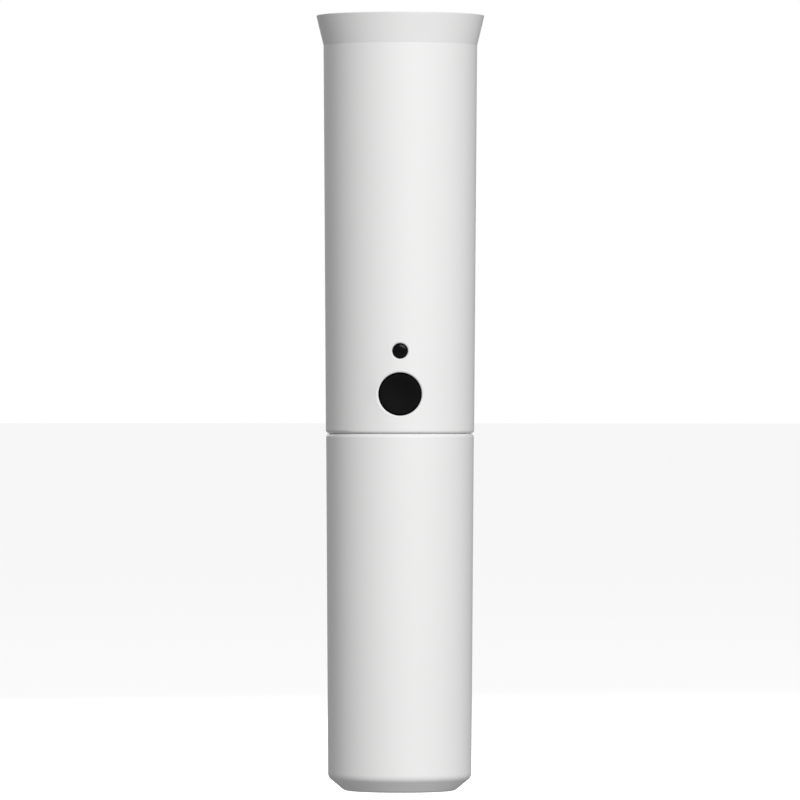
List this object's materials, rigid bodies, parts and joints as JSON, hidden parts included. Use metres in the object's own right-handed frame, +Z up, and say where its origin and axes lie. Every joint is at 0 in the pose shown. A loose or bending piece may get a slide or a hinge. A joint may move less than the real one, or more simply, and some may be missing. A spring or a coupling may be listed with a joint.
{
  "type": "handheld wireless microphone transmitter",
  "caption": "White tubular wireless microphone handle with a flared mouth for the head, a round power button, a status light and a screw-off battery cup.",
  "frame": {"origin": "centre of the flat base of the battery cup", "axes": "+Z up the tube to the flared mouth, -Y out of the front, where the power button is, +X to the right as seen from the front"},
  "size_m": [0.0369, 0.037, 0.1705],
  "materials": {
    "white_shell": "satin moulded",
    "cup_foam": "closed-cell foam",
    "seal_rubber": "matte",
    "frame_plastic": "fine moulded texture",
    "neck_metal": "black satin coating",
    "ring_metal": "turned",
    "button_black": "matte",
    "button_grey": "matte",
    "smoked_lens": "polished",
    "display_grey": "matte",
    "board_mask": "solder mask",
    "shield_tin": "tin plate",
    "chip_black": "moulded",
    "component_ceramic": "fired",
    "led_body": "gloss",
    "switch_black": "moulded",
    "knob_white": "moulded",
    "contact_gold": "gold flash",
    "contact_nickel": "nickel plate",
    "screw_steel": "black zinc",
    "cell_can": "coloured film over a metal can",
    "wire_red": "insulation",
    "wire_black": "insulation",
    "ribbon_film": "polyimide film",
    "antenna_copper": "bare copper",
    "label_paper": "matte film"
  },
  "bodies": {
    "handle": {"handle_tube": "white_shell", "battery_cradle": "frame_plastic", "battery_1": "cell_can", "battery_2": "cell_can", "bridge_contact": "contact_nickel", "positive_contact": "contact_nickel", "negative_contact": "contact_nickel", "cell_spring_lower": "contact_nickel", "cell_spring_upper": "contact_nickel", "power_wire_positive": "wire_red", "power_wire_negative": "wire_black", "antenna_strip": "antenna_copper", "rating_label": "label_paper", "control_board": "board_mask", "display_module": "display_grey", "display_window": "smoked_lens", "group_switch": "switch_black", "channel_switch": "switch_black", "control_ribbon": "ribbon_film", "power_switch": "switch_black", "status_light_lens": "smoked_lens", "status_led": "led_body", "board_carrier": "frame_plastic", "main_board": "board_mask", "rf_shield": "shield_tin", "processor_chip": "chip_black", "board_components": "component_ceramic", "board_screws": "screw_steel", "head_ribbon": "ribbon_film", "neck_socket": "neck_metal", "neck_screws": "screw_steel", "retaining_ring": "ring_metal", "head_board": "board_mask", "contact_block": "switch_black", "gain_switch": "switch_black", "contact_spring_1": "contact_nickel", "contact_spring_2": "contact_nickel", "contact_spring_3": "contact_nickel"},
    "power_button": {"power_button": "button_black", "power_switch_stem": "switch_black"},
    "group_button": {"group_button": "button_grey"},
    "channel_button": {"channel_button": "button_grey"},
    "gain_slider": {"gain_slider": "knob_white"},
    "seal_ring": {"seal_ring": "seal_rubber"},
    "battery_cup": {"battery_cup": "white_shell", "cup_foam_pad": "cup_foam"},
    "contact_pin_1": {"contact_pin_1": "contact_gold"},
    "contact_pin_2": {"contact_pin_2": "contact_gold"},
    "contact_pin_3": {"contact_pin_3": "contact_gold"}
  },
  "joints": [
    {"name": "power_button_press", "type": "slide", "parent": "handle", "child": "power_button", "axis": [0, 1, 0], "range_m": [0, 0.0005], "stiffness_N_per_m": 800, "springref_m": -0.0015},
    {"name": "group_button_press", "type": "slide", "parent": "handle", "child": "group_button", "axis": [0, 1, 0], "range_m": [0, 0.0003], "stiffness_N_per_m": 800, "springref_m": -0.001},
    {"name": "channel_button_press", "type": "slide", "parent": "handle", "child": "channel_button", "axis": [0, 1, 0], "range_m": [0, 0.0003], "stiffness_N_per_m": 800, "springref_m": -0.001},
    {"name": "gain_slide", "type": "slide", "parent": "handle", "child": "gain_slider", "axis": [1, 0, 0], "range_m": [0, 0.002]},
    {"name": "cup_twist", "type": "hinge", "parent": "handle", "child": "seal_ring", "pos_m": [0, 0, 0.0772], "axis": [0, 0, -1], "range_deg": [0, 720]},
    {"name": "cup_pull", "type": "slide", "parent": "seal_ring", "child": "battery_cup", "axis": [0, 0, -1], "range_m": [0, 0.08]},
    {"name": "contact_pin_1_press", "type": "slide", "parent": "handle", "child": "contact_pin_1", "axis": [0, 0, -1], "range_m": [0, 0.0008], "stiffness_N_per_m": 400, "springref_m": -0.001, "deforming": ["contact_spring_1"]},
    {"name": "contact_pin_2_press", "type": "slide", "parent": "handle", "child": "contact_pin_2", "axis": [0, 0, -1], "range_m": [0, 0.0008], "stiffness_N_per_m": 400, "springref_m": -0.001, "deforming": ["contact_spring_2"]},
    {"name": "contact_pin_3_press", "type": "slide", "parent": "handle", "child": "contact_pin_3", "axis": [0, 0, -1], "range_m": [0, 0.0008], "stiffness_N_per_m": 400, "springref_m": -0.001, "deforming": ["contact_spring_3"]}
  ]
}
